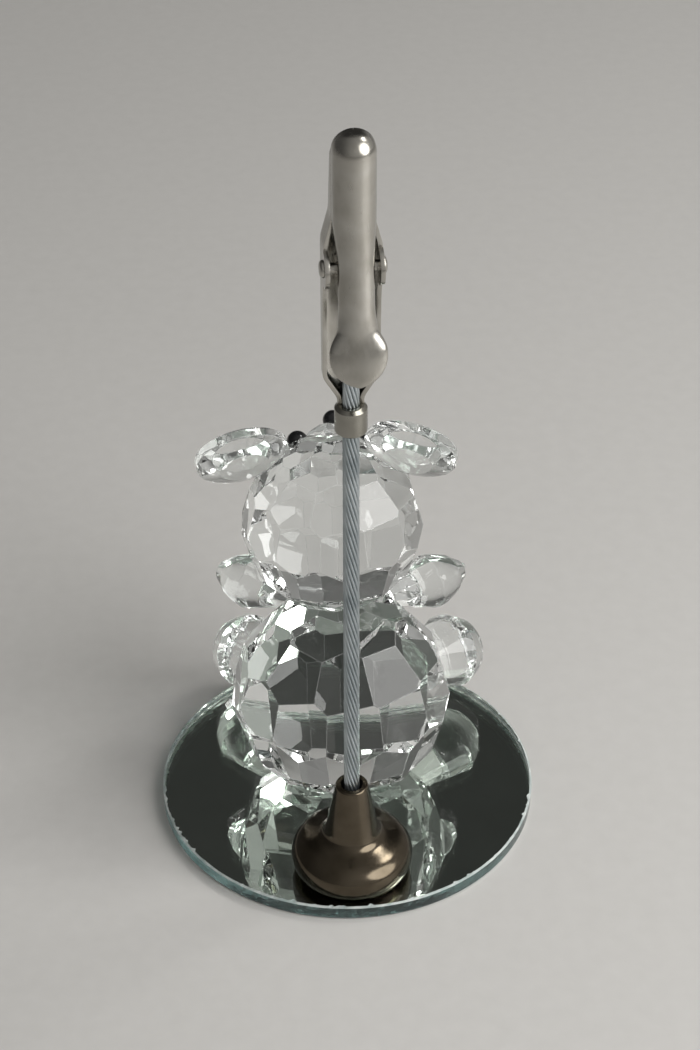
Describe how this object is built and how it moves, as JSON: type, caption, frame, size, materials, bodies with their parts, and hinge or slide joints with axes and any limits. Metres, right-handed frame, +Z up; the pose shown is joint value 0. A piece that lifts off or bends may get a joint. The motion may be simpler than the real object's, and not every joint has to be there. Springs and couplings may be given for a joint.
{
  "type": "place card holder",
  "caption": "Faceted clear crystal bear seated on a round glass mirror, with a memo clip on a stiff steel cable behind it to hold a place card.",
  "frame": {"origin": "centre of the mirror's underside, where the part rests on the table", "axes": "+Z up, the bear faces -Y and the clip stands at +Y, +X is the bear's left"},
  "size_m": [0.05, 0.05, 0.109],
  "materials": {
    "plate_glass": "clear float glass with a ground, slightly green edge",
    "silvering": "silver layer with protective paint below",
    "crystal": "clear cut crystal with polished facets",
    "bead": "glossy black bead",
    "gunmetal": "polished black nickel plate",
    "steel_strand": "drawn wires laid in a strand, left bare",
    "sleeve_metal": "satin nickel plate",
    "nickel": "satin nickel plate, worn bright on the face",
    "spring_steel": "drawn spring wire"
  },
  "bodies": {
    "stand": {"mirror_glass": "plate_glass", "mirror_backing": "silvering", "body": "crystal", "head": "crystal", "left_ear": "crystal", "right_ear": "crystal", "left_arm": "crystal", "right_arm": "crystal", "left_foot": "crystal", "right_foot": "crystal", "muzzle": "crystal", "nose": "bead", "left_eye": "bead", "right_eye": "bead", "stand_cone": "gunmetal", "cable": "steel_strand", "crimp_sleeve": "sleeve_metal", "clip_fixed_jaw": "nickel", "pivot_pin": "nickel", "torsion_spring": "spring_steel"},
    "lever": {"clip_lever": "nickel"}
  },
  "joints": [
    {"name": "jaw_hinge", "type": "hinge", "parent": "stand", "child": "lever", "pos_m": [-0.00085, 0.01808, 0.09235], "axis": [-0.9903, -0.1392, 0], "range_deg": [0, 22], "stiffness_Nm_per_rad": 0.02, "springref_deg": -45.84, "deforming": ["torsion_spring"]}
  ]
}
